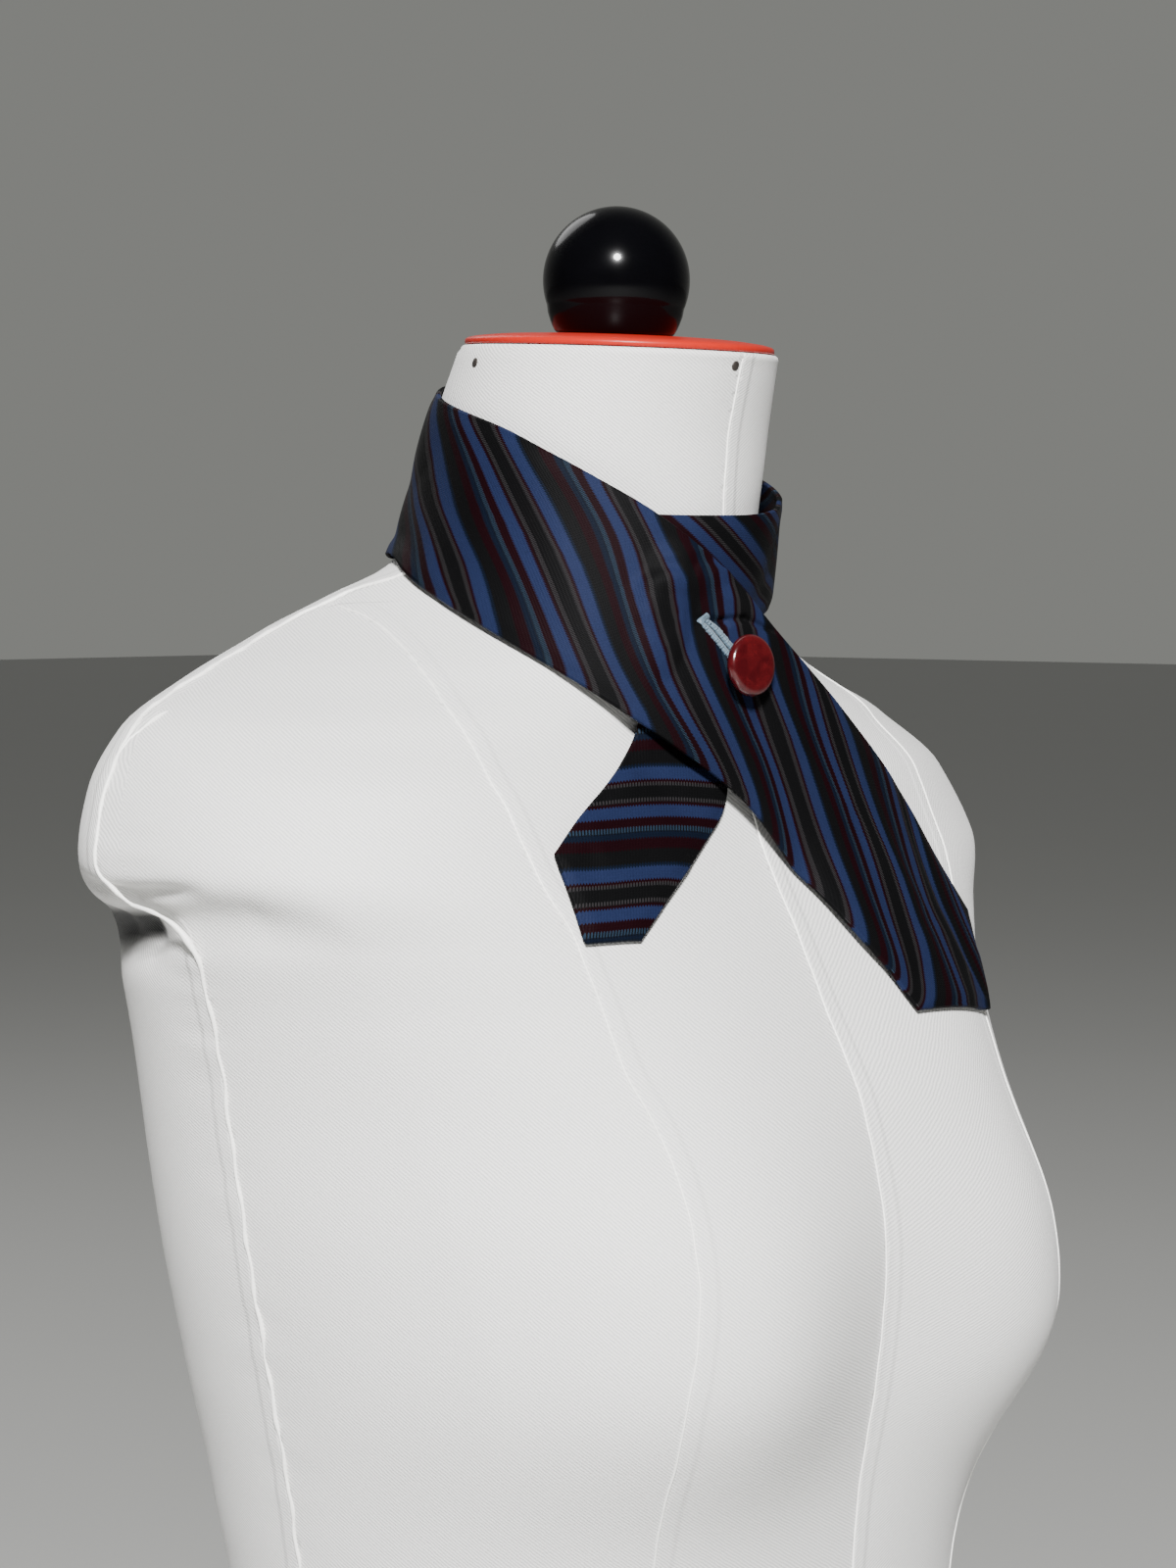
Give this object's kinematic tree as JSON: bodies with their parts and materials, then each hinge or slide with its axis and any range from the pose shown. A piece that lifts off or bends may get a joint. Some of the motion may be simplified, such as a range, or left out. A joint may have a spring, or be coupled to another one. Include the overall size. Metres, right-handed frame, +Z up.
{
  "type": "necktie scarf on a dress form",
  "caption": "Short scarf cut from a striped necktie, wound once round a dress form's neck and held across the front by a shank button in a slanted buttonhole.",
  "frame": {"origin": "middle of the form's flat underside, which it stands on", "axes": "+Z up, the form faces -Y, its left side is +X"},
  "size_m": [0.3598, 0.2649, 0.7454],
  "materials": {
    "tie_cloth": "striped silk twill, soft sheen",
    "button_plastic": "glossy dark red",
    "thread": "matt sewing thread",
    "form_canvas": "off-white fine twill canvas",
    "lid_paint": "satin red paint",
    "ball_lacquer": "glossy black lacquer"
  },
  "bodies": {
    "root": {"scarf_long_end": "tie_cloth", "scarf_neck_band": "tie_cloth", "scarf_short_end": "tie_cloth", "button": "button_plastic", "button_shank": "thread", "form_torso": "form_canvas", "neck_cap": "lid_paint", "finial_ball": "ball_lacquer"}
  },
  "joints": []
}
